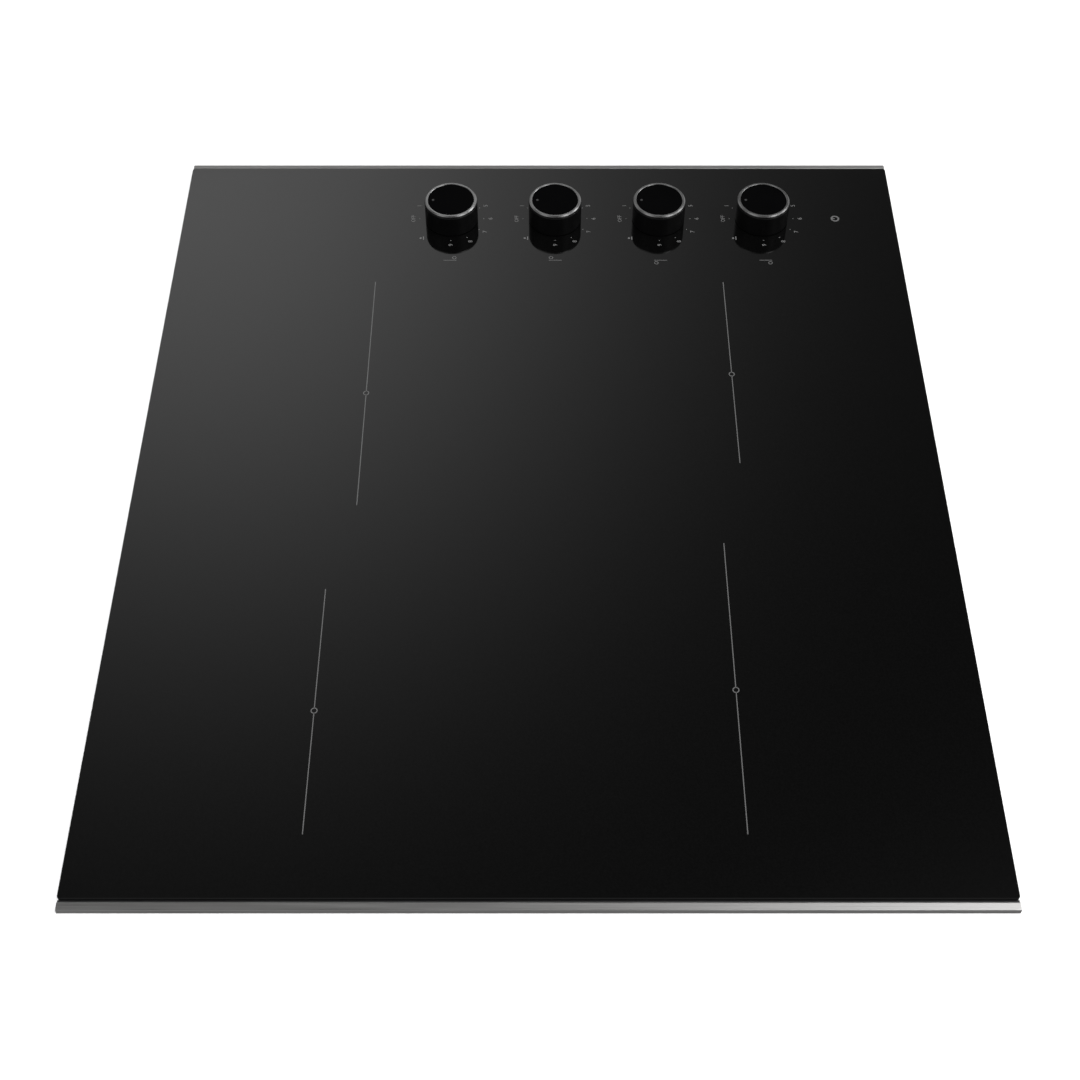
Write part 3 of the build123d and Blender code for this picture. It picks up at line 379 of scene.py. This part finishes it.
def floor_paint():
    made, tree, bsdf = shader("pale_floor")
    set_inputs(bsdf, Roughness=0.9, Specular_IOR_Level=0.1)
    patch = noise(tree, place(tree), 3.0, 2.0)
    tree.links.new(tint(tree, patch, grey(0.84), grey(0.86)), bsdf.inputs["Base Color"])
    return made


def print_ink(name, shade):
    """Fired enamel: dull pale grey, with fine specks in its shade and gloss."""
    made, tree, bsdf = shader(name)
    speck = noise(tree, place(tree), 2500.0)
    colour = tint(tree, speck, grey(shade * 0.85), grey(shade * 1.1))
    drive(tree, bsdf, colour, ramp(tree, speck, 0.42, 0.58))
    bump(tree, bsdf, speck, 0.1, 0.005 * MM)
    return made


# ---- Printed marks, as thin closed prisms ----
PRINT_RISE = 0.03 * MM
MERGE_DISTANCE = 0.002 * MM
CAPITAL_SHARE = 0.7
TEXT_CURVE_STEPS = 4
DOT_SIDES = 20
RING_SIDES = 48


def round_points(centre, radius, sides):
    """Points on a circle, counter-clockwise from +X."""
    angles = [2 * math.pi * i / sides for i in range(sides)]
    return [(centre[0] + radius * math.cos(a), centre[1] + radius * math.sin(a)) for a in angles]


class Print:
    """Flat marks on one level, gathered into one closed mesh."""

    def __init__(self, level):
        self.bm = bmesh.new()
        self.level = level

    def rims(self, points):
        """The same outline at the foot and at the top of a mark."""
        levels = (self.level, self.level + PRINT_RISE)
        return [[self.bm.verts.new((x, y, z)) for x, y in points] for z in levels]

    def wall(self, low, high):
        for i, _ in enumerate(low):
            j = (i + 1) % len(low)
            self.bm.faces.new((low[i], low[j], high[j], high[i]))

    def loop(self, points):
        low, high = self.rims(points)
        self.bm.faces.new(high)
        self.bm.faces.new(low[::-1])
        self.wall(low, high)

    def bar(self, start, end, width):
        start, end = Vector(start), Vector(end)
        across = (end - start).normalized().orthogonal() * width / 2
        self.loop([start - across, end - across, end + across, start + across])

    def dot(self, centre, radius):
        self.loop(round_points(centre, radius, DOT_SIDES))

    def ring(self, centre, outer, inner, sides=RING_SIDES):
        outer_low, outer_high = self.rims(round_points(centre, outer, sides))
        inner_low, inner_high = self.rims(round_points(centre, inner, sides))
        self.wall(outer_low, outer_high)
        self.wall(inner_high, inner_low)
        self.wall(outer_high, inner_high)
        self.wall(inner_low, outer_low)

    def text(self, words, centre, height):
        """Numbers or OFF, upright for the cook, from the built-in font."""
        curve = bpy.data.curves.new("words", "FONT")
        curve.body = words
        curve.size = height / CAPITAL_SHARE
        curve.align_x = "CENTER"
        curve.extrude = PRINT_RISE / 2
        curve.resolution_u = TEXT_CURVE_STEPS
        holder = bpy.data.objects.new("words", curve)
        bpy.context.scene.collection.objects.link(holder)
        mesh = bpy.data.meshes.new_from_object(holder)
        middle = (centre[0], centre[1] - height / 2, self.level + PRINT_RISE / 2)
        mesh.transform(Matrix.Translation(middle))
        self.bm.from_mesh(mesh)
        bpy.data.objects.remove(holder)
        bpy.data.meshes.remove(mesh)

    def piece(self, name, ink, body):
        bmesh.ops.remove_doubles(self.bm, verts=self.bm.verts, dist=MERGE_DISTANCE)
        bmesh.ops.recalc_face_normals(self.bm, faces=self.bm.faces)
        mesh = bpy.data.meshes.new(name)
        self.bm.to_mesh(mesh)
        self.bm.free()
        mesh.materials.append(ink)
        made = bpy.data.objects.new(name, mesh)
        bpy.context.scene.collection.objects.link(made)
        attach(made, body)


LINE_WIDTH = 0.55 * MM
MARK_RADIUS = 2.0 * MM
MARK_STROKE = 0.6 * MM
MARK_SHIFT = {"rear_left": 3.5 * MM, "front_left": 7.0 * MM,
              "rear_right": 5.0 * MM, "front_right": 5.0 * MM}


def zone_line(zone, ink):
    """A fine line across the zone's full diameter, with a small ring near its middle."""
    low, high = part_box(f"heater_dish_{zone}")
    y = (low.y + high.y) / 2
    ring_x = (low.x + high.x) / 2 - MARK_SHIFT[zone]
    reach = MARK_RADIUS - MARK_STROKE / 2
    marks = Print(GLASS_TOP)
    marks.bar((low.x, y), (ring_x - reach, y), LINE_WIDTH)
    marks.bar((ring_x + reach, y), (high.x, y), LINE_WIDTH)
    marks.ring((ring_x, y), MARK_RADIUS, MARK_RADIUS - MARK_STROKE)
    marks.piece(f"zone_line_{zone}", ink, "root")


LABEL_RADIUS = 27.6 * MM
STEP_DOT_RADIUS = 22.9 * MM
STEP_DOT_SIZE = 0.35 * MM
DIGIT_HEIGHT = 3.0 * MM
OFF_HEIGHT = 2.8 * MM
STEP_ANGLE = 30.0
LAST_STEP = 9
END_ANGLE = 315.0
END_RADIUS = 29.0 * MM
END_SPREAD = 1.0 * MM
END_DOT = 0.8 * MM
END_BAR = 1.7 * MM
END_STROKE = 0.65 * MM


def round_the_dial(axis, angle, radius):
    """A point at a clockwise angle from the rear, seen from above."""
    turn = math.radians(angle)
    return (axis.x + radius * math.sin(turn), axis.y + radius * math.cos(turn))


def dial_print(number, ink):
    """OFF and the digits round a knob, each with its dot, and a symbol at the end."""
    axis = knob_axis(number)
    marks = Print(GLASS_TOP)
    for step in range(LAST_STEP + 1):
        angle = step * STEP_ANGLE
        words, height = (str(step), DIGIT_HEIGHT) if step else ("OFF", OFF_HEIGHT)
        marks.text(words, round_the_dial(axis, angle, LABEL_RADIUS), height)
        marks.dot(round_the_dial(axis, angle, STEP_DOT_RADIUS), STEP_DOT_SIZE)
    x, y = round_the_dial(axis, END_ANGLE, END_RADIUS)
    bar_y = y - END_SPREAD
    marks.dot((x, y + END_SPREAD), END_DOT)
    marks.bar((x - END_BAR, bar_y), (x + END_BAR, bar_y), END_STROKE)
    marks.piece(f"dial_print_{number}", ink, "root")


ICON_X = -43.3 * MM
ICON_HALF = 4.5 * MM
ICON_STROKE = 0.45 * MM
ICON_RING = 1.5 * MM
ICON_RING_GAP = 2.6 * MM
ICON_RING_SIDES = 32
# the side and the end of the line where each knob's ring lies
ICON_SIDES = {1: (1, -1), 2: (1, 1), 3: (-1, 1), 4: (-1, -1)}


def zone_icon(number, ink):
    """Which zone the knob works: a short line with a small ring at one of four corners."""
    axis = knob_axis(number)
    x = axis.x + ICON_X
    side, end = ICON_SIDES[number]
    ring_centre = (x + side * ICON_RING_GAP, axis.y + end * (ICON_HALF - ICON_RING))
    marks = Print(GLASS_TOP)
    marks.bar((x, axis.y - ICON_HALF), (x, axis.y + ICON_HALF), ICON_STROKE)
    marks.ring(ring_centre, ICON_RING, ICON_RING - ICON_STROKE, ICON_RING_SIDES)
    marks.piece(f"zone_icon_{number}", ink, "root")


LAMP_RING = 3.1 * MM
LAMP_STROKE = 1.2 * MM
LAMP_BAR = 0.9 * MM
LAMP_BAR_START = 0.2 * MM


def lamp_symbol(ink):
    """The pilot lamp's ring, with a short bar from its rear side to its middle."""
    low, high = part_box("indicator_lamp")
    x, y = (low.x + high.x) / 2, (low.y + high.y) / 2
    hole = LAMP_RING - LAMP_STROKE
    marks = Print(GLASS_TOP)
    marks.ring((x, y), LAMP_RING, hole)
    marks.bar((x, y + LAMP_BAR_START), (x, y + hole), LAMP_BAR)
    marks.piece("lamp_symbol", ink, "root")


POINTER_RADIUS = 12.6 * MM
POINTER_SIZE = 0.9 * MM


def knob_pointer(number, ink):
    """A small dot near the edge of a knob's disc, which turns with the knob."""
    axis = knob_axis(number)
    marks = Print(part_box(f"knob_disc_{number}")[1].z)
    marks.dot((axis.x, axis.y + POINTER_RADIUS), POINTER_SIZE)
    marks.piece(f"knob_pointer_{number}", ink, f"knob_{number}")


# ---- Putting it together ----
def paint(made, *nodes):
    for node in nodes:
        for slot in frame["nodes"][node].material_slots:
            slot.material = made


def paint_metals():
    paint(brushed("brushed_trim", 0.62, 0.36, (2600.0, 14.0, 2600.0), 0.8, "Y"),
          "side_trim_left", "side_trim_right")
    paint(brushed("zinc_plate", 0.62, 0.30, (900.0, 900.0, 900.0), 0.2, "Z"),
          "pan_screws", "clamp_screws", "regulator_screws", "terminal_screws",
          *(f"worktop_clamp_{number}" for number in KNOB_NUMBERS))
    paint(brushed("spring_strip", 0.42, 0.35, (1500.0, 60.0, 1500.0), 0.4, "Y"), "heater_springs")
    paint(brushed("shaft_metal", 0.70, 0.28, (1200.0, 1200.0, 1200.0), 0.3, "Z"),
          *(f"control_shaft_{number}" for number in KNOB_NUMBERS))
    paint(brushed("heating_alloy", 0.30, 0.45, (400.0, 400.0, 1600.0), 0.2, "Z"),
          *(f"heater_ribbon_{zone}" for zone in ZONES))
    paint(coated_sheet("coated_sheet", 0.60, 0.38), "support_frame", "bottom_pan",
          "control_bracket", *(f"heater_dish_{zone}" for zone in ZONES))


def paint_plastics():
    paint(moulded("black_silicone", (0.02, 0.02, 0.021), 0.55, 900.0, 0.1),
          "glass_bond", "shaft_seals")
    paint(moulded("lamp_red", (0.5, 0.03, 0.02), 0.25, 600.0, 0.05), "indicator_lamp")
    paint(moulded("terminal_plastic", (0.03, 0.03, 0.031), 0.5, 1100.0, 0.3), "terminal_housing")
    paint(moulded("cover_plastic", (0.04, 0.04, 0.041), 0.48, 1100.0, 0.35), "terminal_cover")
    paint(moulded("terminal_ceramic", (0.78, 0.76, 0.70), 0.5, 500.0, 0.2), "terminal_block")
    paint(moulded("bush_rubber", (0.022, 0.022, 0.022), 0.7, 700.0, 0.4), "cable_inlet")
    paint(moulded("wire_sleeve", (0.62, 0.58, 0.48), 0.6, 900.0, 0.3), "heater_wiring")
    paint(moulded("steatite", (0.80, 0.78, 0.72), 0.45, 450.0, 0.15),
          *(f"heater_limiter_{zone}" for zone in ZONES))
    paint(moulded("regulator_plastic", (0.62, 0.60, 0.54), 0.55, 800.0, 0.25),
          *(f"energy_regulator_{number}" for number in KNOB_NUMBERS))


def paint_porous():
    paint(cellular("seal_foam", (0.035, 0.035, 0.036), 0.9, 2200.0, 0.5), "worktop_seal")
    paint(cellular("insulation_board", (0.82, 0.80, 0.76), 0.95, 900.0, 0.6),
          *(f"heater_insulation_{zone}" for zone in ZONES))


def paint_knobs():
    paint(moulded("knob_satin_black", (0.0036, 0.0036, 0.0037), 0.34, 2600.0, 0.12, 0.15),
          *(f"knob_body_{number}" for number in KNOB_NUMBERS))
    paint(moulded("knob_insert_black", (0.0008, 0.0008, 0.0009), 0.46, 3000.0, 0.08, 0.02),
          *(f"knob_disc_{number}" for number in KNOB_NUMBERS))
    for number in KNOB_NUMBERS:
        chrome = spun_metal(f"knob_chrome_{number}", knob_axis(number), 0.36, 0.25)
        paint(chrome, f"knob_ring_{number}")


def add_prints():
    line_ink = print_ink("line_enamel", 0.085)
    dial_ink = print_ink("dial_enamel", 0.12)
    pointer_ink = print_ink("pointer_enamel", 0.025)
    icon_ink = print_ink("icon_enamel", 0.095)
    for zone in ZONES:
        zone_line(zone, line_ink)
    for number in KNOB_NUMBERS:
        dial_print(number, dial_ink)
        zone_icon(number, icon_ink)
        knob_pointer(number, pointer_ink)
    lamp_symbol(line_ink)


make_world()
make_floor()
for box in SOFT_BOXES:
    soft_box(*box)
paint(black_glass(), "glass_top")
paint_metals()
paint_plastics()
paint_porous()
paint_knobs()
add_prints()
bpy.context.scene.view_settings.view_transform = "Standard"
